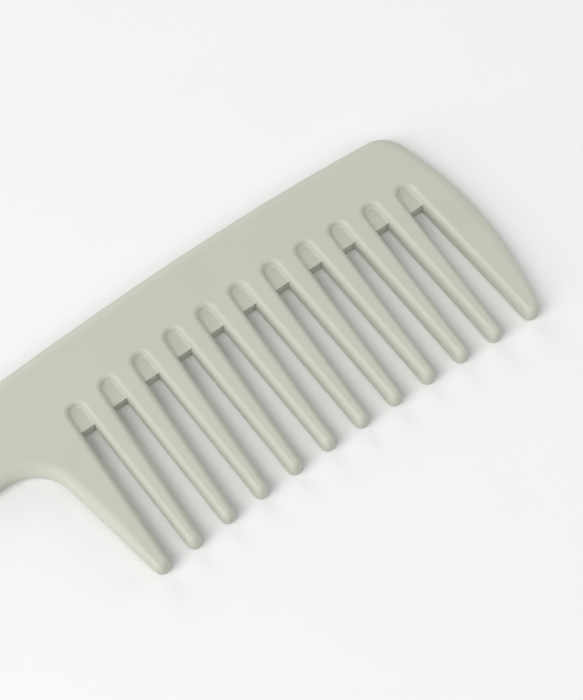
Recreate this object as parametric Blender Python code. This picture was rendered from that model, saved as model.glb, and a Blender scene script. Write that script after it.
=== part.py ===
"""Wide tooth comb with a handle: one stiff moulding, described region by region.

The comb lies flat: +X runs along its length towards the head, the teeth point
to -Y and +Z is up out of its face. The origin is the middle of the underside's
bounding box. The outline is worked out first in the head's own coordinates,
where x = 0 is the middle gap and y = 0 is just below the ends of the webs that
close the gaps.
"""
import math

import bmesh
import bpy

# ---- driving dimensions, metres ----
TOOTH_COUNT = 12
PITCH = 0.009
THICKNESS = 0.005
EDGE_ROUND = 0.0014
NODE_GAP = 0.0003

# back edge: two long arcs that meet at the crown, then a straight handle edge
CROWN = (0.002, 0.0206)
BACK_RADIUS_HEAD = 0.550
BACK_RADIUS_NECK = 0.900
HANDLE_TOP_SLOPE = 0.060

# nose: the head's free end
NOSE_POINT = (0.0561, -0.0114)
NOSE_RADIUS = 0.082
NOSE_CORNER_RADIUS = 0.007

# teeth and the gaps between them
ROOT_Y = 0.00072
ROOT_BOW_RADIUS = 0.385
ROOT_BOW_X = 0.001
TIP_BOW_RADIUS = 0.760
TIP_BOW_X = -0.001
TIP_Y = -0.03645
TEETH_X = -0.00035
TIP_RADIUS = 0.0016
END_TIP_RADIUS = 0.0019
GAP_END_HALF_WIDTH = 0.0015
GAP_END_ABOVE_ROOT = 0.0042
FIRST_TOOTH_OUTER = ((-0.0561, -0.0118), (-0.0514, -0.0356))

# handle
HANDLE_LOWER_POINT = (-0.067, -0.00215)
HANDLE_LOWER_SLOPE = 0.035
HANDLE_END_X = -0.1485
NECK_FILLET_RADIUS = 0.011
HANDLE_SPLIT_X = -0.0585

# webs: they close the inner end of each gap, flush with the underside and below the face
WEB_THICKNESS = 0.0036

ARC_STEPS = 8
LONG_ARC_STEPS = 14
REACH = 0.25

PLASTIC = (0.52, 0.53, 0.45, 1.0)
PLASTIC_ROUGHNESS = 0.45


# ---- plane geometry ----
def on_circle(centre, radius, angle):
    return (centre[0] + radius * math.cos(angle), centre[1] + radius * math.sin(angle))


def arc(centre, radius, start, end, steps):
    """Points on a circle from one angle to another, both ends included."""
    return [on_circle(centre, radius, start + (end - start) * i / steps) for i in range(steps + 1)]


def circles_meet(centre_a, radius_a, centre_b, radius_b):
    """The crossing of two circles that has the higher x."""
    dx, dy = centre_b[0] - centre_a[0], centre_b[1] - centre_a[1]
    distance = math.hypot(dx, dy)
    along = (radius_a ** 2 - radius_b ** 2 + distance ** 2) / (2.0 * distance)
    across = math.sqrt(radius_a ** 2 - along ** 2)
    middle = (centre_a[0] + along * dx / distance, centre_a[1] + along * dy / distance)
    shift = (across * dy / distance, -across * dx / distance)
    return max((middle[0] + shift[0], middle[1] + shift[1]), (middle[0] - shift[0], middle[1] - shift[1]))


def angle_to(centre, point):
    return math.atan2(point[1] - centre[1], point[0] - centre[0])


def lines_meet(point_a, slope_a, point_b, slope_b):
    """Crossing of two lines, each y = y0 + slope * (x - x0)."""
    x = (point_b[1] - point_a[1] + slope_a * point_a[0] - slope_b * point_b[0]) / (slope_a - slope_b)
    return (x, point_a[1] + slope_a * (x - point_a[0]))


def fillet(corner, heading_in, heading_out, radius, steps):
    """Arc that rounds a corner; the path turns right (clockwise) there."""
    turn = heading_in - heading_out
    back_off = radius * math.tan(turn / 2.0)
    start = (corner[0] - back_off * math.cos(heading_in), corner[1] - back_off * math.sin(heading_in))
    centre = (start[0] + radius * math.sin(heading_in), start[1] - radius * math.cos(heading_in))
    return arc(centre, radius, heading_in + math.pi / 2, heading_out + math.pi / 2, steps)


# ---- heights and centres that follow the comb's bow ----
def root_y(x):
    return ROOT_Y - (x - ROOT_BOW_X) ** 2 / (2.0 * ROOT_BOW_RADIUS)


def tip_y(x):
    return TIP_Y - (x - TIP_BOW_X) ** 2 / (2.0 * TIP_BOW_RADIUS)


def tooth_x(tooth):
    """Middle of a tooth; teeth are counted from 1 at the handle."""
    return TEETH_X + (tooth - (TOOTH_COUNT + 1) / 2.0) * PITCH


def gap_x(gap):
    """Middle of the gap between tooth number gap and the next one."""
    return TEETH_X + (gap - TOOTH_COUNT / 2.0) * PITCH


# ---- the outline, run through with the material on the right ----
def back_edge():
    neck_x = CROWN[0] - HANDLE_TOP_SLOPE * BACK_RADIUS_NECK
    neck_centre = (CROWN[0], CROWN[1] - BACK_RADIUS_NECK)
    head_centre = (CROWN[0], CROWN[1] - BACK_RADIUS_HEAD)
    nose_centre = (NOSE_POINT[0] - NOSE_RADIUS, NOSE_POINT[1])
    corner = circles_meet(head_centre, BACK_RADIUS_HEAD - NOSE_CORNER_RADIUS,
                          nose_centre, NOSE_RADIUS - NOSE_CORNER_RADIUS)
    up = math.pi / 2
    neck = arc(neck_centre, BACK_RADIUS_NECK, up - math.asin((neck_x - CROWN[0]) / BACK_RADIUS_NECK), up,
               LONG_ARC_STEPS)
    head = arc(head_centre, BACK_RADIUS_HEAD, up, angle_to(head_centre, corner), LONG_ARC_STEPS)
    nose = arc(corner, NOSE_CORNER_RADIUS, angle_to(head_centre, corner), angle_to(nose_centre, corner),
               ARC_STEPS)
    return neck + head[1:] + nose[1:]


def last_tip_centre():
    nose_centre = (NOSE_POINT[0] - NOSE_RADIUS, NOSE_POINT[1])
    y = tip_y(tooth_x(TOOTH_COUNT)) + END_TIP_RADIUS
    reach = NOSE_RADIUS - END_TIP_RADIUS
    return (nose_centre[0] + math.sqrt(reach ** 2 - (y - nose_centre[1]) ** 2), y)


def nose_side():
    """From the nose corner down the last tooth's outer side and round its tip."""
    nose_centre = (NOSE_POINT[0] - NOSE_RADIUS, NOSE_POINT[1])
    tip = last_tip_centre()
    side = arc(nose_centre, NOSE_RADIUS, angle_to(nose_centre, back_edge()[-1]),
               angle_to(nose_centre, tip), LONG_ARC_STEPS)
    round_tip = arc(tip, END_TIP_RADIUS, angle_to(nose_centre, tip), -math.pi + wall_lean(), ARC_STEPS)
    return side[1:] + round_tip[1:]


def wall_lean():
    """Angle of a tooth's side to its own middle line."""
    run = (PITCH / 2.0 - TIP_RADIUS) - GAP_END_HALF_WIDTH
    return math.atan(run / (ROOT_Y + GAP_END_ABOVE_ROOT - TIP_Y - TIP_RADIUS))


def gap_end(gap):
    """Round inner end of a gap, passed from the higher x to the lower."""
    x = gap_x(gap)
    centre = (x, root_y(x) + GAP_END_ABOVE_ROOT)
    return arc(centre, GAP_END_HALF_WIDTH, wall_lean(), math.pi - wall_lean(), ARC_STEPS)


def middle_tip(tooth):
    x = tooth_x(tooth)
    return arc((x, tip_y(x) + TIP_RADIUS), TIP_RADIUS, -wall_lean(), wall_lean() - math.pi, ARC_STEPS)


def first_tooth_heading():
    (x0, y0), (x1, y1) = FIRST_TOOTH_OUTER
    return math.atan2(y1 - y0, x1 - x0)


def first_tip():
    """Round tip of tooth 1, tangent to its outer side and to its inner wall."""
    heading = first_tooth_heading()
    y = tip_y(tooth_x(1)) + END_TIP_RADIUS
    (x0, y0) = FIRST_TOOTH_OUTER[0]
    on_side = x0 + (y - y0) / math.tan(heading)
    x = on_side + END_TIP_RADIUS / abs(math.sin(heading))
    return arc((x, y), END_TIP_RADIUS, -wall_lean(), heading - math.pi / 2, ARC_STEPS)


def lower_edge():
    """From tooth 1's outer side through the neck fillet to the handle's end."""
    heading = first_tooth_heading()
    corner = lines_meet(FIRST_TOOTH_OUTER[0], math.tan(heading), HANDLE_LOWER_POINT, HANDLE_LOWER_SLOPE)
    return list(reversed(fillet(corner, math.atan(HANDLE_LOWER_SLOPE), heading, NECK_FILLET_RADIUS, ARC_STEPS)))


def handle_top_y(x):
    neck_x = CROWN[0] - HANDLE_TOP_SLOPE * BACK_RADIUS_NECK
    neck_y = CROWN[1] - BACK_RADIUS_NECK * (1.0 - math.cos(math.asin(HANDLE_TOP_SLOPE)))
    return neck_y + math.tan(math.asin(HANDLE_TOP_SLOPE)) * (x - neck_x)


def handle_lower_y(x):
    return HANDLE_LOWER_POINT[1] + HANDLE_LOWER_SLOPE * (x - HANDLE_LOWER_POINT[0])


def handle_end():
    """Full round end, tangent to both edges of the slightly tapered handle."""
    half_taper = (math.asin(HANDLE_TOP_SLOPE) - math.atan(HANDLE_LOWER_SLOPE)) / 2.0
    tilt = (math.asin(HANDLE_TOP_SLOPE) + math.atan(HANDLE_LOWER_SLOPE)) / 2.0
    x = HANDLE_END_X
    for _ in range(6):
        radius = (handle_top_y(x) - handle_lower_y(x)) / 2.0 * math.cos(half_taper)
        x = HANDLE_END_X + radius
    centre = (x, (handle_top_y(x) + handle_lower_y(x)) / 2.0)
    start = tilt - math.pi / 2 - half_taper
    return arc(centre, radius, start, start - math.pi + 2.0 * half_taper, 2 * ARC_STEPS)


def outline():
    """The comb's whole edge, clockwise seen from above."""
    points = back_edge() + nose_side()
    for gap in range(TOOTH_COUNT - 1, 0, -1):
        points += gap_end(gap)
        if gap > 1:
            points += middle_tip(gap)
    return points + first_tip() + lower_edge() + handle_end()


def frame_origin():
    """Middle of the outline's box, which becomes the part's origin."""
    xs, ys = zip(*outline())
    return ((min(xs) + max(xs)) / 2.0, (min(ys) + max(ys)) / 2.0)


# ---- Blender objects ----
def clear_scene():
    for thing in list(bpy.data.objects):
        bpy.data.objects.remove(thing, do_unlink=True)


def new_collection(name):
    collection = bpy.data.collections.new(name)
    bpy.context.scene.collection.children.link(collection)
    return collection


def plastic(name):
    material = bpy.data.materials.new(name)
    material.use_nodes = True
    shader = material.node_tree.nodes["Principled BSDF"]
    shader.inputs["Base Color"].default_value = PLASTIC
    shader.inputs["Roughness"].default_value = PLASTIC_ROUGHNESS
    shader.inputs["Metallic"].default_value = 0.0
    return material


def plate_mesh(name, points, thickness, rounding):
    """Closed mesh of a flat outline with rounded edges, lying on the underside's plane."""
    x0, y0 = frame_origin()
    curve = bpy.data.curves.new(name, "CURVE")
    curve.dimensions = "2D"
    curve.fill_mode = "BOTH"
    curve.extrude = thickness / 2.0 - rounding
    curve.bevel_depth = rounding
    curve.bevel_resolution = 1
    curve.offset = -rounding
    spline = curve.splines.new("POLY")
    spline.points.add(len(points) - 1)
    for spot, (x, y) in zip(spline.points, points):
        spot.co = (x - x0, y - y0, 0.0, 1.0)
    spline.use_cyclic_u = True
    holder = bpy.data.objects.new(name, curve)
    bpy.context.scene.collection.objects.link(holder)
    holder.location.z = thickness / 2.0
    bpy.context.view_layer.update()
    evaluated = holder.evaluated_get(bpy.context.evaluated_depsgraph_get())
    mesh = bpy.data.meshes.new_from_object(evaluated)
    mesh.transform(holder.matrix_world)
    bpy.data.objects.remove(holder, do_unlink=True)
    work = bmesh.new()
    work.from_mesh(mesh)
    bmesh.ops.remove_doubles(work, verts=work.verts, dist=0.00001)
    bmesh.ops.dissolve_degenerate(work, edges=work.edges, dist=0.00001)
    bmesh.ops.recalc_face_normals(work, faces=work.faces)
    work.to_mesh(mesh)
    work.free()
    mesh.name = name
    mesh.shade_smooth()
    mesh.set_sharp_from_angle(angle=math.radians(35.0))
    return mesh


def prism_cutter(name, points, collection):
    """Tall prism over a plan outline; what lies inside it is one region of the comb."""
    x0, y0 = frame_origin()
    work = bmesh.new()
    corners = [work.verts.new((x - x0, y - y0, -THICKNESS)) for x, y in points]
    base = work.faces.new(corners)
    raised = bmesh.ops.extrude_face_region(work, geom=[base])["geom"]
    tops = [item for item in raised if isinstance(item, bmesh.types.BMVert)]
    bmesh.ops.translate(work, verts=tops, vec=(0.0, 0.0, 3.0 * THICKNESS))
    bmesh.ops.recalc_face_normals(work, faces=work.faces)
    mesh = bpy.data.meshes.new(name)
    work.to_mesh(mesh)
    work.free()
    cutter = bpy.data.objects.new(name, mesh)
    cutter.hide_render = True
    cutter.display_type = "WIRE"
    collection.objects.link(cutter)
    return cutter


def region(name, blank, points, parts, cutters):
    """One region of the moulding: the blank kept only inside a plan outline."""
    part = bpy.data.objects.new(name, blank.copy())
    part.data.materials.clear()
    part.data.materials.append(plastic(name + "_plastic"))
    parts.objects.link(part)
    keep = part.modifiers.new("keep region", "BOOLEAN")
    keep.operation = "INTERSECT"
    keep.solver = "EXACT"
    keep.object = prism_cutter(name + "_region", points, cutters)
    return part


def root_line(shift):
    """Gap middles from the nose to the handle, at the roots' height plus a shift."""
    return [(gap_x(gap), root_y(gap_x(gap)) + shift) for gap in range(TOOTH_COUNT - 1, 0, -1)]


def make_spine(blank, parts, cutters):
    left = HANDLE_SPLIT_X + NODE_GAP / 2.0
    low = root_line(NODE_GAP / 2.0)
    points = [(left, REACH), (REACH, REACH), (REACH, low[0][1])] + low + [(left, low[-1][1])]
    region("spine", blank, points, parts, cutters)


def make_handle(blank, parts, cutters):
    right = HANDLE_SPLIT_X - NODE_GAP / 2.0
    region("handle", blank, [(-REACH, -REACH), (-REACH, REACH), (right, REACH), (right, -REACH)], parts, cutters)


def make_teeth(blank, parts, cutters):
    for tooth in range(1, TOOTH_COUNT + 1):
        left = HANDLE_SPLIT_X + NODE_GAP / 2.0 if tooth == 1 else gap_x(tooth - 1)
        right = REACH if tooth == TOOTH_COUNT else gap_x(tooth)
        left_top = root_y(gap_x(max(tooth - 1, 1))) - NODE_GAP / 2.0
        right_top = root_y(gap_x(min(tooth, TOOTH_COUNT - 1))) - NODE_GAP / 2.0
        points = [(left, -REACH), (left, left_top), (right, right_top), (right, -REACH)]
        region(f"tooth_{tooth:02d}", blank, points, parts, cutters)


def make_root_webs(parts):
    flare = GAP_END_ABOVE_ROOT * math.tan(wall_lean())
    half_end = GAP_END_HALF_WIDTH - NODE_GAP
    for gap in range(1, TOOTH_COUNT):
        x, y = gap_x(gap), root_y(gap_x(gap))
        crown = arc((x, y + GAP_END_ABOVE_ROOT), half_end, math.pi, 0.0, ARC_STEPS)
        points = [(x - half_end - flare, y)] + crown + [(x + half_end + flare, y)]
        name = f"root_web_{gap:02d}"
        web = bpy.data.objects.new(name, plate_mesh(name, points, WEB_THICKNESS, 0.0))
        web.data.materials.append(plastic(name + "_plastic"))
        parts.objects.link(web)


def main():
    clear_scene()
    parts = new_collection("wide_tooth_comb")
    cutters = new_collection("cutters")
    blank = plate_mesh("comb_blank", outline(), THICKNESS, EDGE_ROUND)
    make_spine(blank, parts, cutters)
    make_handle(blank, parts, cutters)
    make_teeth(blank, parts, cutters)
    make_root_webs(parts)
    bpy.data.meshes.remove(blank)


main()
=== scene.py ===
# %% [markdown]
# # A wide tooth comb
#
# The comb is one injection moulding in satin sage-grey plastic: a bowed head with broad,
# tapered teeth, a sunken web that closes the root of each gap, and a flat handle.
# Everything about its form follows from one idea: a plan outline whose edge is rounded by
# the same kind of curve all the way round. So the lesson works the outline out first, then
# carries the edge's profile along it, and last closes the flat faces.

# %% Load the frame
import math

import bpy
import mathutils
import numpy as np
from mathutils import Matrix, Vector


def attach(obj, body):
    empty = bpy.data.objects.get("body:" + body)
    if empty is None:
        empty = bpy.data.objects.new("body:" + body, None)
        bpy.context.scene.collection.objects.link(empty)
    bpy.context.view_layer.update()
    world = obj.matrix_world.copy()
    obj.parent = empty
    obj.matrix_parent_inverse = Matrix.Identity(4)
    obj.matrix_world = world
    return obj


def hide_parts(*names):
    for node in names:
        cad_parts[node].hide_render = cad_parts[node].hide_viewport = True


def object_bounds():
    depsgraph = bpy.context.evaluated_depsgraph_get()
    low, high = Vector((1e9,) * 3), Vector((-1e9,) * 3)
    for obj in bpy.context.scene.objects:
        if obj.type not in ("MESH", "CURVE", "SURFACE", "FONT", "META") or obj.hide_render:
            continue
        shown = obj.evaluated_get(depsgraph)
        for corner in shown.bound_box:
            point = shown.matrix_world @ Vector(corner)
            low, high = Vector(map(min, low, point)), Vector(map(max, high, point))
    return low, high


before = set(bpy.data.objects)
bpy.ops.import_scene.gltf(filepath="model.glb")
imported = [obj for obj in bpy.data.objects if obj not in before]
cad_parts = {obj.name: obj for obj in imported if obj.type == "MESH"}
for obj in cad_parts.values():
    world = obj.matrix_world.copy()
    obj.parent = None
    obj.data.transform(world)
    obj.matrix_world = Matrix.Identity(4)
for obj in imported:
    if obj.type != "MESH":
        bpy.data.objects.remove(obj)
cad_box = [list(corner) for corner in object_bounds()]
print("CAD box, metres:", cad_box)

# %% [markdown]
# ## Sizes
#
# A few driving sizes set the whole comb, in metres. They are written in the head's own
# coordinates: x = 0 is close to the middle gap, and y = 0 to the ends of the middle webs.
# A moulded comb like this is bowed, so the roots and the tips each follow a long arc. The
# two arcs are flat enough to be written as parabolas, which need no square root.

# %% Driving sizes
# the back and the handle
CROWN = np.array([0.002, 0.0206])
BACK_RADIUS_HEAD = 0.550
BACK_RADIUS_NECK = 0.900
HANDLE_TOP_SLOPE = 0.060
HANDLE_LOWER_POINT = np.array([-0.067, -0.00215])
HANDLE_LOWER_SLOPE = 0.035
HANDLE_END_X = -0.1485
NECK_FILLET_RADIUS = 0.011
NECK_X = -0.0585

# the nose, which is the head's free end
NOSE_POINT = np.array([0.0561, -0.0114])
NOSE_RADIUS = 0.082
NOSE_CORNER_RADIUS = 0.007

# the teeth and the gaps between them
TOOTH_COUNT = 12
PITCH = 0.009
TEETH_X = -0.00035
FIRST_SIDE_POINT = np.array([-0.0561, -0.0118])
FIRST_SIDE_HEADING = math.atan2(-0.0238, 0.0047)
ROOT_Y = 0.00072
ROOT_BOW_X = 0.001
ROOT_BOW_RADIUS = 0.385
TIP_Y = -0.03645
TIP_BOW_X = -0.001
TIP_BOW_RADIUS = 0.760
TIP_RADIUS = 0.0016
END_TIP_RADIUS = 0.0019
GAP_END_RADIUS = 0.0015
GAP_END_ABOVE_ROOT = 0.0042

box_low, box_high = np.array(cad_box)
HALF = (box_high[2] - box_low[2]) / 2.0
MID_HEIGHT = box_low[2] + HALF
HEAD_ZERO = box_high[:2] - np.array([NOSE_POINT[0], CROWN[1]])
print(f"thickness {HALF * 2000:.2f} mm; the head's zero point is at {HEAD_ZERO * 1000} mm")


def root_y(x):
    """Height of the webs' ends: it falls by the squared distance from the bow's middle, over
    the bow's diameter."""
    return ROOT_Y - (x - ROOT_BOW_X) ** 2 / (2.0 * ROOT_BOW_RADIUS)


def tip_y(x):
    """Height of the tips, by the same rule with a flatter bow."""
    return TIP_Y - (x - TIP_BOW_X) ** 2 / (2.0 * TIP_BOW_RADIUS)


def tooth_x(tooth):
    """Middle of a tooth; tooth 1 is next to the handle."""
    return TEETH_X + (tooth - (TOOTH_COUNT + 1) / 2.0) * PITCH


def gap_x(gap):
    """Middle of the gap between tooth number gap and the next one."""
    return TEETH_X + (gap - TOOTH_COUNT / 2.0) * PITCH


# %% [markdown]
# ## Lines and arcs
#
# The outline could be drawn by hand as a Bezier curve. Straight stretches and arcs that
# touch without a corner are how a mould maker would draw it, and they also give exact
# normals. A stretch is an array with a row for each point: x, y, the outward normal's x
# and y, and how far the edge's rounding reaches in from there. The outline is run through
# clockwise, so the plastic is always on the right.

# %% Stretches of outline
def arc(centre, radius, start, end, count, reach):
    """Points centre + radius * (cos a, sin a). A clockwise arc bulges, so its outward normal is
    (cos a, sin a); the other way round the arc hollows the plastic and its normal is minus that."""
    angle = np.linspace(start, end, count)
    radial = np.stack([np.cos(angle), np.sin(angle)], axis=1)
    outward = radial if end < start else -radial
    return np.column_stack([centre + radius * radial, outward, np.broadcast_to(reach, (count,))])


def line(start, end, count, reach):
    """Points start + t * (end - start); the outward normal is the heading turned left."""
    start, end = np.asarray(start), np.asarray(end)
    heading = (end - start) / np.linalg.norm(end - start)
    points = start + np.linspace(0.0, 1.0, count)[:, None] * (end - start)
    outward = np.broadcast_to([-heading[1], heading[0]], (count, 2))
    return np.column_stack([points, outward, np.broadcast_to(reach, (count,))])


def turned(stretch):
    """The same stretch run through the other way: rows reversed, normals turned round."""
    return stretch[::-1] * np.array([1.0, 1.0, -1.0, -1.0, 1.0])


def join(*stretches):
    """Stretches end to end; the point that two of them share is kept once."""
    return np.vstack([stretches[0]] + [stretch[1:] for stretch in stretches[1:]])


def angle_of(vector):
    """Heading of a vector, from the x axis."""
    return math.atan2(vector[1], vector[0])


def unit(angle):
    """The vector (cos a, sin a)."""
    return np.array([math.cos(angle), math.sin(angle)])


# %% [markdown]
# ## How far the edge is rounded
#
# A hand holds the comb by its outer edge, so that edge is a full soft round. In the gaps
# the rounding is narrower, and it narrows a little towards the tips, so that each tooth keeps
# a flat strip along its face. Smoothstep, 3t^2 - 2t^3, blends one width into the other.

# %% Rounding widths
OUTER_REACH = 0.0030
ROOT_REACH = 0.0015
TIP_REACH = 0.0014
WALL_EASE = 0.034
SIDE_EASE_START = -0.0365
SIDE_EASE = 0.017


def smoothstep(t):
    """3t^2 - 2t^3, with t held between 0 and 1."""
    t = np.clip(t, 0.0, 1.0)
    return t * t * (3.0 - 2.0 * t)


def wall_reach(fall):
    """From the root's width to the tip's width over the fall below the root."""
    return ROOT_REACH + (TIP_REACH - ROOT_REACH) * smoothstep(fall / WALL_EASE)


def side_reach(y):
    """Outer side of an end tooth: the full round, eased to the tip's width near the tip."""
    share = smoothstep((y - SIDE_EASE_START) / SIDE_EASE)
    return TIP_REACH + (OUTER_REACH - TIP_REACH) * share


# %% [markdown]
# ## The walls of the gaps
#
# Each gap ends in a small circle and each tooth in another, and the wall between them is
# the line that touches both. Its angle comes from one equation: along the wall's normal the
# two centres are as far apart as the two radii together.

# %% Gap ends, tips and the walls between them
ABOVE_ROOT_POINTS = 5
WALL_POINTS = 24
ROUND_POINTS = 25
NOSE_CENTRE = NOSE_POINT - np.array([NOSE_RADIUS, 0.0])


def gap_centre(gap):
    """Centre of the circle at a gap's inner end."""
    return np.array([gap_x(gap), root_y(gap_x(gap)) + GAP_END_ABOVE_ROOT])


def tip_circle(tooth):
    """Centre and radius of a tip. The end teeth's circles also touch their outer sides."""
    x = tooth_x(tooth)
    if 1 < tooth < TOOTH_COUNT:
        return np.array([x, tip_y(x) + TIP_RADIUS]), TIP_RADIUS
    y = tip_y(x) + END_TIP_RADIUS
    if tooth == 1:
        side = FIRST_SIDE_POINT[0] + (y - FIRST_SIDE_POINT[1]) / math.tan(FIRST_SIDE_HEADING)
        return np.array([side - END_TIP_RADIUS / math.sin(FIRST_SIDE_HEADING), y]), END_TIP_RADIUS
    across = math.sqrt((NOSE_RADIUS - END_TIP_RADIUS) ** 2 - (y - NOSE_CENTRE[1]) ** 2)
    return np.array([NOSE_CENTRE[0] + across, y]), END_TIP_RADIUS


def wall_angle(gap, tooth):
    """Angle of the wall's normal, pointing from the gap into the tooth."""
    centre, radius = tip_circle(tooth)
    apart = centre - gap_centre(gap)
    between = math.acos((GAP_END_RADIUS + radius) / np.linalg.norm(apart))
    return angle_of(apart) + (between if tooth > gap else -between)


def wall(gap, tooth):
    """The wall beside a gap in its two stretches, above and below the root's height."""
    normal = unit(wall_angle(gap, tooth))
    centre, radius = tip_circle(tooth)
    top, bottom = gap_centre(gap) + GAP_END_RADIUS * normal, centre - radius * normal
    root = root_y(gap_x(gap))
    cut = top + (top[1] - root) / (top[1] - bottom[1]) * (bottom - top)
    fall = root - np.linspace(cut[1], bottom[1], WALL_POINTS)
    above = line(top, cut, ABOVE_ROOT_POINTS, ROOT_REACH)
    below = line(cut, bottom, WALL_POINTS, wall_reach(fall))
    return (turned(above), turned(below)) if tooth > gap else (above, below)


def gap_end(gap):
    """Up the right-hand wall from the root, round the end circle and down the left-hand wall."""
    right, left = wall_angle(gap, gap + 1), wall_angle(gap, gap) % (2.0 * math.pi)
    end = arc(gap_centre(gap), GAP_END_RADIUS, right, left, ROUND_POINTS, ROOT_REACH)
    return join(wall(gap, gap + 1)[0], end, wall(gap, gap)[0])


lean = math.degrees(wall_angle(6, 7))
print(f"the middle gap's walls lean {lean:.2f} degrees; its end has {len(gap_end(6))} points")

# %% [markdown]
# ## The neck, the handle and the back
#
# Where the handle meets the first tooth a hollow fillet keeps the corner from cracking. The
# back is two long arcs, flatter towards the handle, and the nose is an arc with a tighter
# corner. Each arc starts where the one before it stops, with the same normal.

# %% The fillet at the neck
def on_handle_top(x):
    """The straight top edge, which the back's longer arc turns into."""
    neck = CROWN + BACK_RADIUS_NECK * (unit(math.pi / 2 + TOP_TILT) - [0.0, 1.0])
    return np.array([x, neck[1] + math.tan(TOP_TILT) * (x - neck[0])])


def on_handle_bottom(x):
    """The straight lower edge."""
    return HANDLE_LOWER_POINT + (x - HANDLE_LOWER_POINT[0]) * np.array([1.0, HANDLE_LOWER_SLOPE])


TOP_TILT = math.asin(HANDLE_TOP_SLOPE)
LOW_TILT = math.atan(HANDLE_LOWER_SLOPE)
side_slope = math.tan(FIRST_SIDE_HEADING)
side_at_zero = FIRST_SIDE_POINT[1] - side_slope * FIRST_SIDE_POINT[0]
corner_x = (side_at_zero - on_handle_bottom(0.0)[1]) / (HANDLE_LOWER_SLOPE - side_slope)
back_off = NECK_FILLET_RADIUS * math.tan((LOW_TILT - FIRST_SIDE_HEADING) / 2.0)
FILLET_START = on_handle_bottom(corner_x) - back_off * unit(LOW_TILT)
FILLET_CENTRE = FILLET_START - NECK_FILLET_RADIUS * unit(LOW_TILT + math.pi / 2)
NECK_ANGLE = math.acos((NECK_X - FILLET_CENTRE[0]) / NECK_FILLET_RADIUS)
print("the fillet's centre, mm:", np.round(FILLET_CENTRE * 1000, 2))


# %% [markdown]
# ## The regions' outlines
#
# The comb is cut into regions for naming, as the frame's parts are: a spine, a handle, and
# a tooth between each two gaps. The cuts are where no curve changes, and both neighbours
# take the very same points there, so no line shows between them.

# %% Outlines of the teeth, the spine and the handle
NECK_POINTS = 8
BACK_POINTS = 60
HANDLE_POINTS = 90


def right_side(tooth):
    """Down a tooth's right-hand side; the last tooth's is the nose's long arc."""
    if tooth < TOOTH_COUNT:
        return wall(tooth, tooth)[1]
    start = math.asin((root_y(gap_x(tooth - 1)) - NOSE_CENTRE[1]) / NOSE_RADIUS)
    end = angle_of(tip_circle(tooth)[0] - NOSE_CENTRE)
    y = NOSE_CENTRE[1] + NOSE_RADIUS * np.sin(np.linspace(start, end, 2 * WALL_POINTS))
    return arc(NOSE_CENTRE, NOSE_RADIUS, start, end, 2 * WALL_POINTS, side_reach(y))


def left_side(tooth):
    """Up a tooth's left-hand side; the first tooth's runs on into the neck's fillet."""
    if tooth > 1:
        return wall(tooth - 1, tooth)[1]
    centre, radius = tip_circle(1)
    start = centre + radius * unit(FIRST_SIDE_HEADING - math.pi / 2)
    side_angle = FIRST_SIDE_HEADING + math.pi / 2
    end = FILLET_CENTRE + NECK_FILLET_RADIUS * unit(side_angle)
    y = np.linspace(start[1], end[1], 2 * WALL_POINTS)
    fillet = arc(FILLET_CENTRE, NECK_FILLET_RADIUS, side_angle, NECK_ANGLE, ROUND_POINTS,
                 OUTER_REACH)
    return join(line(start, end, 2 * WALL_POINTS, side_reach(y)), fillet)


def tooth_outline(tooth):
    """Down the right-hand side, round the tip and up the left-hand side."""
    down, up = right_side(tooth), left_side(tooth)
    centre, radius = tip_circle(tooth)
    start, end = angle_of(down[-1, 2:4]), angle_of(up[0, 2:4])
    tip = arc(centre, radius, start, end, ROUND_POINTS, TIP_REACH)
    return join(down, tip, up)


def back_outline():
    """From the neck along the back, over the crown and the nose's corner, to the last root."""
    neck_centre, head_centre = CROWN - [0.0, BACK_RADIUS_NECK], CROWN - [0.0, BACK_RADIUS_HEAD]
    apart = NOSE_CENTRE - head_centre
    long_side, short_side = BACK_RADIUS_HEAD - NOSE_CORNER_RADIUS, NOSE_RADIUS - NOSE_CORNER_RADIUS
    distance = np.linalg.norm(apart)
    squares = long_side ** 2 + distance ** 2 - short_side ** 2
    turn = math.acos(squares / (2.0 * long_side * distance))
    corner_start = angle_of(apart) - turn
    corner = head_centre + long_side * unit(corner_start)
    corner_end = angle_of(corner - NOSE_CENTRE)
    last_root = math.asin((root_y(gap_x(TOOTH_COUNT - 1)) - NOSE_CENTRE[1]) / NOSE_RADIUS)
    up = math.pi / 2
    neck_end = neck_centre + BACK_RADIUS_NECK * unit(up + TOP_TILT)
    return join(
        line(on_handle_top(NECK_X), neck_end, NECK_POINTS, OUTER_REACH),
        arc(neck_centre, BACK_RADIUS_NECK, up + TOP_TILT, up, BACK_POINTS, OUTER_REACH),
        arc(head_centre, BACK_RADIUS_HEAD, up, corner_start, BACK_POINTS, OUTER_REACH),
        arc(corner, NOSE_CORNER_RADIUS, corner_start, corner_end, ROUND_POINTS, OUTER_REACH),
        arc(NOSE_CENTRE, NOSE_RADIUS, corner_end, last_root, ROUND_POINTS, OUTER_REACH))


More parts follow.
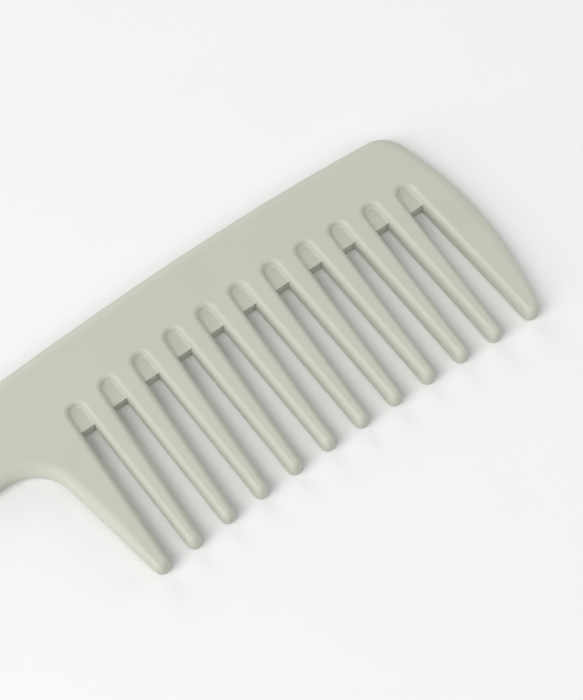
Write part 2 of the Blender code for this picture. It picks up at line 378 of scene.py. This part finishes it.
def handle_outline():
    """From the neck's fillet along the lower edge, round the end and back along the top edge."""
    half_taper = (TOP_TILT - LOW_TILT) / 2.0
    width_at_end = (on_handle_top(HANDLE_END_X) - on_handle_bottom(HANDLE_END_X))[1]
    spread = math.tan(TOP_TILT) - HANDLE_LOWER_SLOPE
    half_cos = math.cos(half_taper) / 2.0
    radius = half_cos * width_at_end / (1.0 - half_cos * spread)
    x = HANDLE_END_X + radius
    centre = (on_handle_top(x) + on_handle_bottom(x)) / 2.0
    first, last = LOW_TILT - math.pi / 2, TOP_TILT - 1.5 * math.pi
    fillet = arc(FILLET_CENTRE, NECK_FILLET_RADIUS, NECK_ANGLE, LOW_TILT + math.pi / 2,
                 ROUND_POINTS, OUTER_REACH)
    return join(
        fillet,
        line(FILLET_START, centre + radius * unit(first), HANDLE_POINTS, OUTER_REACH),
        arc(centre, radius, first, last, 3 * ROUND_POINTS, OUTER_REACH),
        line(centre + radius * unit(last), on_handle_top(NECK_X), HANDLE_POINTS, OUTER_REACH))


# %% [markdown]
# ## The profile carried along the outline
#
# Seen end on, the edge is two quarter ellipses with a straight wall between them. The upper
# one starts at mid-height. On the outer edge the lower one mirrors it, for the hand. In a
# gap it is small, and the wall drops almost to the table, because a mould leaves it so. Two
# parameters give every point, the place along the outline and the angle round the ellipse,
# so whole arrays can be worked out at once, normals and all.

# %% The edge's surface
QUARTER_POINTS = 17
FOOT_REACH = 0.0004
FOOT_DEPTH = 0.0005
FULL_DEPTH = 0.0024


def foot_of(reach):
    """Reach and depth of the lower quarter: small in a gap, the upper one's where it is widest,
    and in between in the same share as the upper reach."""
    share = np.clip((reach - ROOT_REACH) / (OUTER_REACH - ROOT_REACH), 0.0, 1.0)
    depth = FOOT_DEPTH + share * (FULL_DEPTH - FOOT_DEPTH)
    return FOOT_REACH + share * (reach - FOOT_REACH), depth


def quarter(stretch, reach, depth, base, angle):
    """Points p - n * r * (1 - cos a) at height base + d * sin a, at each outline point p with
    outward normal n, reach r and depth d. Returns them and their normals: d * cos a along n,
    r * sin a upwards, and along the path what the slopes of r and of the height call for."""
    place, outward = stretch[:, None, :2], stretch[:, None, 2:4]
    steps = np.linalg.norm(np.diff(stretch[:, :2], axis=0), axis=1)
    along = np.concatenate([[0.0], np.cumsum(steps)])
    reach_slope, depth_slope, base_slope = (np.gradient(value, along)[:, None]
                                            for value in (reach, depth, base))
    reach, depth, base, angle = reach[:, None], depth[:, None], base[:, None], angle[None, :]
    inset = reach * (1.0 - np.cos(angle))
    level = base + depth * np.sin(angle)
    plan = place + HEAD_ZERO - outward * inset[..., None]
    points = np.concatenate([plan, level[..., None]], axis=2)
    side, rise = depth * np.cos(angle), reach * np.sin(angle)
    climb = base_slope + depth_slope * np.sin(angle)
    ahead = side * reach_slope * (1.0 - np.cos(angle)) - rise * climb
    heading = np.stack([outward[..., 1], -outward[..., 0]], axis=2)
    flat = outward * side[..., None] + heading * ahead[..., None]
    normals = np.concatenate([flat, rise[..., None]], axis=2)
    return points, normals / np.linalg.norm(normals, axis=2, keepdims=True)


def rounded_edge(stretch):
    """The lower quarter stands on the underside, and the upper one starts at mid-height."""
    reach = stretch[:, 4]
    foot_reach, foot_depth = foot_of(reach)
    rising, even = np.linspace(0.0, math.pi / 2, QUARTER_POINTS), np.ones_like(reach)
    lower = quarter(stretch, foot_reach, foot_depth, MID_HEIGHT - HALF + foot_depth, -rising[::-1])
    upper = quarter(stretch, reach, HALF * even, MID_HEIGHT * even, rising)
    return tuple(np.concatenate(pair, axis=1) for pair in zip(lower, upper))


# %% [markdown]
# ## From surfaces to a solid
#
# A region's surface is its stretches of rounded edge, a face across each cut, and the two
# flat faces. The normals worked out above are kept on the mesh, so the light runs over the
# edge as over the true curve, and two neighbouring regions shade alike at their cut.

# %% Building a region
def new_piece(name, node, vertices, faces, material):
    """Puts the arrays into a mesh, and gives the piece its place in the frame."""
    mesh = bpy.data.meshes.new(name)
    mesh.from_pydata(vertices, [], faces)
    mesh.update()
    mesh.shade_smooth()
    mesh.materials.append(material)
    piece = bpy.data.objects.new(name, mesh)
    bpy.context.scene.collection.objects.link(piece)
    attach(piece, "root")
    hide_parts(node)
    return piece


def strip_faces(rows, columns, first):
    """Quads between neighbouring rows of a grid whose points are numbered from first."""
    index = first + np.arange(rows * columns).reshape(rows, columns)
    corners = [index[:-1, :-1], index[:-1, 1:], index[1:, 1:], index[1:, :-1]]
    return np.stack(corners, axis=-1).reshape(-1, 4).tolist()


def set_normals(mesh, normals, flat_faces):
    """The worked-out normal at every face corner, and its own face's normal on a cut."""
    corner_vertex = np.empty(len(mesh.loops), dtype=np.int32)
    mesh.loops.foreach_get("vertex_index", corner_vertex)
    corner_normal = normals[corner_vertex]
    for flat in flat_faces:
        face = mesh.polygons[flat]
        corner_normal[face.loop_start:face.loop_start + face.loop_total] = face.normal
    mesh.normals_split_custom_set(corner_normal.tolist())


def corner_post(point):
    """A corner of a cut: two points, one above the other, with the flat faces' normals."""
    spot = np.append(point + HEAD_ZERO, 0.0)
    low, high = [0.0, 0.0, MID_HEIGHT - HALF], [0.0, 0.0, MID_HEIGHT + HALF]
    return np.array([[spot + low, spot + high]]), np.array([[[0.0, 0.0, -1.0], [0.0, 0.0, 1.0]]])


def moulded_region(name, node, path, material):
    """A solid from a closed path of stretches and, as single points, the corners of its cuts."""
    points, normals, faces, columns, cuts = [], [], [], [], []
    count = 0
    for item in path:
        grid, slopes = corner_post(item) if item.ndim == 1 else rounded_edge(item)
        rows, height = grid.shape[:2]
        faces += strip_faces(rows, height, count)
        index = count + np.arange(rows * height).reshape(rows, height)
        cuts.append((index[0], index[-1]))
        columns.append(index)
        points.append(grid.reshape(-1, 3))
        normals.append(slopes.reshape(-1, 3))
        count += rows * height
    side_faces = len(faces)
    for here, there in zip(cuts, cuts[1:] + cuts[:1]):
        faces.append(here[1].tolist() + there[0][::-1].tolist())
    bottom = np.concatenate([index[:, 0] for index in columns])
    top = np.concatenate([index[:, -1] for index in columns])
    faces += [bottom.tolist(), top[::-1].tolist()]
    piece = new_piece(name, node, np.vstack(points), faces, material)
    set_normals(piece.data, np.vstack(normals), range(side_faces, side_faces + len(cuts)))
    return piece


# %% [markdown]
# ## Moulded grain
#
# A moulded surface is never quite one colour or one gloss. The mould's fine texture breaks
# up the shine, and the melt leaves faint, wide clouds where it flowed. Every plastic part
# of the comb shares the effect, so it is built once, as a shader node group.

# %% The grain group
CLOUD_SCALE = 70.0
GRAIN_SCALE = 3200.0
SPECK_SCALE = 1500.0
CLOUD_BAND = (0.3, 0.7)
SPECK_BAND = (0.70, 0.78)
GLOSS_BAND = (0.7, 1.3)
CLOUD_HEIGHT = 0.6


def new_group(name, inputs, outputs):
    """An empty shader group with its named inputs and outputs, and its two end nodes."""
    group = bpy.data.node_groups.new(name, "ShaderNodeTree")
    for label, kind, value in inputs:
        socket = group.interface.new_socket(name=label, in_out="INPUT", socket_type=kind)
        if value is not None:
            socket.default_value = value
    for label, kind in outputs:
        group.interface.new_socket(name=label, in_out="OUTPUT", socket_type=kind)
    start, end = group.nodes.new("NodeGroupInput"), group.nodes.new("NodeGroupOutput")
    return group, start, end


def noise(tree, vector, scale, detail):
    """A noise with scale bumps to the metre."""
    node = tree.nodes.new("ShaderNodeTexNoise")
    node.inputs["Scale"].default_value = scale
    node.inputs["Detail"].default_value = detail
    tree.links.new(vector, node.inputs["Vector"])
    return node.outputs["Fac"]


def map_range(tree, value, low, high, to_low, to_high):
    """Carries low..high over to to_low..to_high; a limit may be a number or another output."""
    node = tree.nodes.new("ShaderNodeMapRange")
    for label, item in (("Value", value), ("From Min", low), ("From Max", high),
                        ("To Min", to_low), ("To Max", to_high)):
        if isinstance(item, (int, float)):
            node.inputs[label].default_value = item
        else:
            tree.links.new(item, node.inputs[label])
    return node.outputs["Result"]


def arithmetic(tree, operation, *values):
    """A sum, difference or product of numbers and other outputs."""
    node = tree.nodes.new("ShaderNodeMath")
    node.operation = operation
    for socket, item in zip(node.inputs, values):
        if isinstance(item, (int, float)):
            socket.default_value = item
        else:
            tree.links.new(item, socket)
    return node.outputs["Value"]


def build_grain_group():
    """Clouds a centimetre or two wide, a grain of a third of a millimetre, and sparse specks."""
    group, start, end = new_group(
        "moulded grain",
        [("Vector", "NodeSocketVector", None), ("Cloud Depth", "NodeSocketFloat", 0.03),
         ("Speck Depth", "NodeSocketFloat", 0.05), ("Gloss Low", "NodeSocketFloat", 0.4),
         ("Gloss High", "NodeSocketFloat", 0.5)],
        [(label, "NodeSocketFloat") for label in ("Tone", "Roughness", "Height")])
    vector = start.outputs["Vector"]
    cloud = noise(group, vector, CLOUD_SCALE, 2.0)
    grain = noise(group, vector, GRAIN_SCALE, 2.0)
    speck = map_range(group, noise(group, vector, SPECK_SCALE, 1.0), *SPECK_BAND, 0.0, 1.0)
    cloud_dark = arithmetic(group, "MULTIPLY", map_range(group, cloud, *CLOUD_BAND, 1.0, 0.0),
                            start.outputs["Cloud Depth"])
    speck_dark = arithmetic(group, "MULTIPLY", speck, start.outputs["Speck Depth"])
    tone = arithmetic(group, "SUBTRACT", arithmetic(group, "SUBTRACT", 1.0, cloud_dark), speck_dark)
    gloss = map_range(group, arithmetic(group, "ADD", cloud, grain), *GLOSS_BAND,
                      start.outputs["Gloss Low"], start.outputs["Gloss High"])
    group.links.new(tone, end.inputs["Tone"])
    group.links.new(gloss, end.inputs["Roughness"])
    cloud_height = arithmetic(group, "MULTIPLY", cloud, CLOUD_HEIGHT)
    group.links.new(arithmetic(group, "ADD", grain, cloud_height), end.inputs["Height"])
    return group


grain_group = build_grain_group()
print("grain group:", [item.name for item in grain_group.interface.items_tree])

# %% [markdown]
# ## The two finishes
#
# The handled faces have the satin of a blasted mould. The webs are cut by a separate insert
# in the mould, which is polished a little brighter. Both are the same sage-grey plastic, so
# both place the same group, each with its own values.

# %% Plastic materials
SAGE = (0.495, 0.504, 0.430)
PLASTIC_IOR = 1.49
BUMP_STRENGTH = 0.6


def grained_finish(name, colour, cloud_depth, speck_depth, gloss, bump_depth):
    """The colour times the group's tone, with the group's gloss, and its height as a bump."""
    material = bpy.data.materials.new(name)
    material.use_nodes = True
    tree = material.node_tree
    shader = tree.nodes["Principled BSDF"]
    shader.inputs["IOR"].default_value = PLASTIC_IOR
    place = tree.nodes.new("ShaderNodeTexCoord").outputs["Object"]
    effect = tree.nodes.new("ShaderNodeGroup")
    effect.node_tree = grain_group
    tree.links.new(place, effect.inputs["Vector"])
    for label, value in (("Cloud Depth", cloud_depth), ("Speck Depth", speck_depth),
                         ("Gloss Low", gloss[0]), ("Gloss High", gloss[1])):
        effect.inputs[label].default_value = value
    shade = tree.nodes.new("ShaderNodeMix")
    shade.data_type = "RGBA"
    shade.blend_type = "MULTIPLY"
    shade.inputs["Factor"].default_value = 1.0
    shade_colour = [socket for socket in shade.inputs if socket.type == "RGBA"]
    shade_colour[0].default_value = (*colour, 1.0)
    tree.links.new(effect.outputs["Tone"], shade_colour[1])
    tree.links.new([socket for socket in shade.outputs if socket.type == "RGBA"][0],
                   shader.inputs["Base Color"])
    tree.links.new(effect.outputs["Roughness"], shader.inputs["Roughness"])
    bump = tree.nodes.new("ShaderNodeBump")
    bump.inputs["Strength"].default_value = BUMP_STRENGTH
    bump.inputs["Distance"].default_value = bump_depth
    tree.links.new(effect.outputs["Height"], bump.inputs["Height"])
    tree.links.new(bump.outputs["Normal"], shader.inputs["Normal"])
    return material


satin_plastic = grained_finish("satin sage plastic", SAGE, 0.025, 0.05, (0.48, 0.58), 0.00002)
insert_plastic = grained_finish("insert sage plastic", SAGE, 0.02, 0.03, (0.44, 0.54), 0.00001)

# %% [markdown]
# ## The moulding's regions
#
# The spine carries the back edge and the round ends of the gaps. Each tooth is a single
# stretch of outline closed by the cut at its root. At the neck three regions meet in one
# point, which all three take as a corner of their cut. It stands 2 mm above the roots. At
# their height it would lie on the arc that is the inner edge of the neck's rounding, where
# the handle's flat faces would cross themselves and show a crack. The cell prints how far
# the corner is clear of that arc. It also prints by what share the triangles of the flat
# faces add up to more than the faces, because that is above 0 when one crosses itself.

# %% Spine, handle and teeth
def numbered(name, count):
    """The name with a number of two digits, as the frame's parts have it."""
    return f"{name}_{count:02d}"


NECK_CORNER_RISE = 0.0020
neck_corner = np.array([NECK_X, root_y(gap_x(1)) + NECK_CORNER_RISE])
inner_radius = NECK_FILLET_RADIUS + OUTER_REACH
clear = np.linalg.norm(neck_corner - FILLET_CENTRE) - inner_radius
print(f"the neck's corner is {clear * 1000:.2f} mm clear of the rounding's inner edge")
gap_ends = [gap_end(gap) for gap in range(TOOTH_COUNT - 1, 0, -1)]
spine_path = [back_outline(), *gap_ends, neck_corner]
regions = [moulded_region("comb_spine", "spine", spine_path, satin_plastic),
           moulded_region("comb_handle", "handle", [handle_outline(), neck_corner], satin_plastic)]
for tooth in range(1, TOOTH_COUNT + 1):
    path = [tooth_outline(tooth)] + ([neck_corner] if tooth == 1 else [])
    regions.append(moulded_region(numbered("comb_tooth", tooth), numbered("tooth", tooth), path,
                                  satin_plastic))
print(len(regions), "regions with", sum(len(region.data.polygons) for region in regions), "faces")


def excess(piece):
    """Share by which the triangles of a region's two flat faces exceed those faces."""
    mesh = piece.data
    mesh.calc_loop_triangles()
    flats = {len(mesh.polygons) - 2, len(mesh.polygons) - 1}
    covered = sum(triangle.area for triangle in mesh.loop_triangles
                  if triangle.polygon_index in flats)
    return covered / sum(mesh.polygons[face].area for face in flats) - 1.0


most = max(excess(region) for region in regions)
print(f"most excess in a region's flat faces: {most:.5f}, and 0 if none crosses itself")

# %% [markdown]
# ## The webs
#
# A web closes the inner end of each gap and stiffens the roots. It is flush with the
# underside and sunk below the face, where it meets the gap's wall in a small hollow fillet,
# and its end drops straight down. Its outline is the gap end's own, so only its profile is
# new: a floor, a fillet that touches the floor and the wall's ellipse, a part buried in the
# wall, and a foot that fills the rounding below, so the underside stays flat.

# %% The web's profile
WEB_TOP = 0.0036
WEB_FILLET = 0.0005
WEB_BITE = 0.0003
FLOOR_RING = 0.0001
WALL_SAMPLES = 400
FILLET_POINTS = 9


def web_profile():
    """Depths into the gap and heights above the underside, from the floor down to the foot. The
    fillet is a circle that touches floor and wall. Of all the wall's points it touches the one
    whose height, plus the radius times its normal's rise, is the height of the circle's centre."""
    angle = np.linspace(0.0, math.pi / 2, WALL_SAMPLES)
    rise, run = ROOT_REACH * np.sin(angle), HALF * np.cos(angle)
    centre_height = HALF * (1.0 + np.sin(angle)) + WEB_FILLET * rise / np.hypot(rise, run)
    touch = np.interp(WEB_TOP + WEB_FILLET, centre_height, angle)
    normal = np.array([HALF * math.cos(touch), ROOT_REACH * math.sin(touch)])
    normal = normal / np.linalg.norm(normal)
    on_wall = np.array([-ROOT_REACH * (1.0 - math.cos(touch)), HALF * (1.0 + math.sin(touch))])
    last = angle_of(-normal) % (2.0 * math.pi) - 2.0 * math.pi
    turn = np.linspace(-math.pi / 2, last, FILLET_POINTS)
    fillet = on_wall + WEB_FILLET * (normal + np.stack([np.cos(turn), np.sin(turn)], axis=1))
    buried = [on_wall - [WEB_BITE, 0.0], [-WEB_BITE, HALF]]
    foot = [[-FOOT_REACH, 0.0], [FLOOR_RING, 0.0]]
    return np.vstack([fillet[:1] + [FLOOR_RING, 0.0], fillet, buried, foot])


profile = web_profile()
print("web profile: the floor starts", np.round(profile[1] * 1000, 2), "mm in from the wall and up")


# %% The webs
SHARP_EDGE = math.radians(50.0)


def web(gap):
    """The web's profile carried along the gap's end, with floor, foot and end closed flat."""
    stretch = gap_end(gap)
    outward = stretch[:, 2:4].copy()
    outward[0], outward[-1] = [-1.0, 0.0], [1.0, 0.0]
    rows, height = len(stretch), len(profile)
    level = np.broadcast_to(box_low[2] + profile[None, :, 1], (rows, height))
    place = (stretch[:, None, :2] + HEAD_ZERO) + outward[:, None, :] * profile[None, :, :1]
    points = np.concatenate([place, level[..., None]], axis=2)
    index = np.arange(rows * height).reshape(rows, height)
    faces = strip_faces(rows, height, 0)
    faces.append(index[-1].tolist() + index[0][::-1].tolist())
    faces += [index[:, 0].tolist(), index[::-1, -1].tolist()]
    piece = new_piece(numbered("comb_web", gap), numbered("root_web", gap),
                      points.reshape(-1, 3), faces, insert_plastic)
    piece.data.set_sharp_from_angle(angle=SHARP_EDGE)
    return piece


webs = [web(gap) for gap in range(1, TOOTH_COUNT)]
print(len(webs), "webs")

# %% [markdown]
# ## The table
#
# A plain pale board stands in for the table. Its surface is a fine, dry texture with hardly
# any shine, so the comb's soft shadow reads clearly on it. It isn't endless: a low view
# looks out over its edge, where the pale surround takes over.

# %% The floor
BOARD_REACH = 1.2
BOARD_LEVEL = float(box_low[2]) - 0.00002
BOARD_COLOUR = (0.80, 0.80, 0.795)


def pale_floor():
    """A square board just under the comb, with a faint grain in colour, gloss and height."""
    mesh = bpy.data.meshes.new("pale_floor")
    corners = [(-1, -1), (1, -1), (1, 1), (-1, 1)]
    mesh.from_pydata([(x * BOARD_REACH, y * BOARD_REACH, BOARD_LEVEL) for x, y in corners],
                     [], [(0, 1, 2, 3)])
    board = grained_finish("pale board", BOARD_COLOUR, 0.006, 0.0, (0.75, 0.85), 0.00001)
    mesh.materials.append(board)
    floor = bpy.data.objects.new("pale_floor", mesh)
    bpy.context.scene.collection.objects.link(floor)
    return floor


floor = pale_floor()
print(f"the board is {2.0 * BOARD_REACH:.1f} m across")

# %% [markdown]
# ## Light
#
# The brightest light comes from the left, as from a window: one wide lamp high up and a
# weaker one low down, so that the left-hand rims catch it. Three weaker lamps low behind,
# to the right and in front stand in for the pale walls of a room, which send some light
# back from every side. All are wide, so the shadows in the gaps fade out slowly. An even
# surround adds a little light too. What the lens sees of it is paler than what it sheds, so
# the background stays pale where a low view looks out over the table's edge.

# %% Light and surround
AIM = np.array([0.0482, -0.0032, 0.0])
LAMP_DISTANCE = 1.6
LAMP_SIZE = 1.1
LAMPS = {
    "window_high": ((-1.0, 0.0, 1.4), 14.5),
    "window_low": ((-1.0, 0.0, 0.4), 10.5),
    "wall_behind": ((0.0, 1.0, 0.35), 8.5),
    "wall_right": ((1.0, 0.0, 0.35), 8.0),
    "wall_front": ((0.3, -1.0, 0.9), 6.0),
}
SHED_STRENGTH = 0.25
SEEN_STRENGTH = 0.86


def soft_light(name, direction, power):
    """A round area light, out along direction from the comb's middle and facing it."""
    light = bpy.data.lights.new(name, "AREA")
    light.shape = "DISK"
    light.size = LAMP_SIZE
    light.energy = power
    lamp = bpy.data.objects.new(name, light)
    bpy.context.scene.collection.objects.link(lamp)
    towards = np.array(direction) / np.linalg.norm(direction)
    lamp.location = AIM + LAMP_DISTANCE * towards
    lamp.rotation_euler = mathutils.Vector(towards).to_track_quat("Z", "Y").to_euler()


def pale_surround():
    """White all round: a weak light for the scene, and a paler one where the lens sees it."""
    world = bpy.data.worlds.new("pale surround")
    world.use_nodes = True
    tree = world.node_tree
    shed = tree.nodes["Background"]
    seen = tree.nodes.new("ShaderNodeBackground")
    for background, strength in ((shed, SHED_STRENGTH), (seen, SEEN_STRENGTH)):
        background.inputs["Color"].default_value = (1.0, 1.0, 1.0, 1.0)
        background.inputs["Strength"].default_value = strength
    mix = tree.nodes.new("ShaderNodeMixShader")
    path = tree.nodes.new("ShaderNodeLightPath")
    tree.links.new(path.outputs["Is Camera Ray"], mix.inputs["Fac"])
    tree.links.new(shed.outputs["Background"], mix.inputs[1])
    tree.links.new(seen.outputs["Background"], mix.inputs[2])
    tree.links.new(mix.outputs["Shader"], tree.nodes["World Output"].inputs["Surface"])
    return world


for name, (direction, power) in LAMPS.items():
    soft_light(name, direction, power)
bpy.context.scene.world = pale_surround()
bpy.context.scene.view_settings.view_transform = "Standard"
print(len(LAMPS), "lamps,", sum(power for direction, power in LAMPS.values()), "W together")

# %% [markdown]
# ## Camera
#
# The camera looks down steeply from the tips' side, a third of a right angle round towards
# the handle. It is close, so the handle runs out of the picture. Its three axes are worked
# out from an azimuth, an elevation and a small roll, and make the columns of its matrix.

# %% Camera
CAMERA_DISTANCE = 0.3808
AZIMUTH = math.radians(-33.71)
ELEVATION = math.radians(67.41)
ROLL = math.radians(-2.27)
LENS = 87.69


def add_camera(aim, distance, azimuth, elevation, roll, lens):
    """Stands back from aim by distance. Its sideways axis is level before the roll turns it."""
    back = np.array([math.sin(azimuth) * math.cos(elevation),
                     -math.cos(azimuth) * math.cos(elevation), math.sin(elevation)])
    right = np.cross([0.0, 0.0, 1.0], back)
    right = right / np.linalg.norm(right)
    up = np.cross(back, right)
    across = right * math.cos(roll) + up * math.sin(roll)
    upright = up * math.cos(roll) - right * math.sin(roll)
    camera = bpy.data.objects.new("camera", bpy.data.cameras.new("camera"))
    camera.data.lens = lens
    camera.data.clip_start = 0.01
    bpy.context.scene.collection.objects.link(camera)
    matrix = mathutils.Matrix(np.column_stack([across, upright, back]).tolist()).to_4x4()
    matrix.translation = aim + distance * back
    camera.matrix_world = matrix
    return camera


camera = add_camera(AIM, CAMERA_DISTANCE, AZIMUTH, ELEVATION, ROLL, LENS)
bpy.context.scene.camera = camera
print("the camera stands at", np.round(np.array(camera.matrix_world.translation) * 1000), "mm")

# %% Update the scene
bpy.context.view_layer.update()
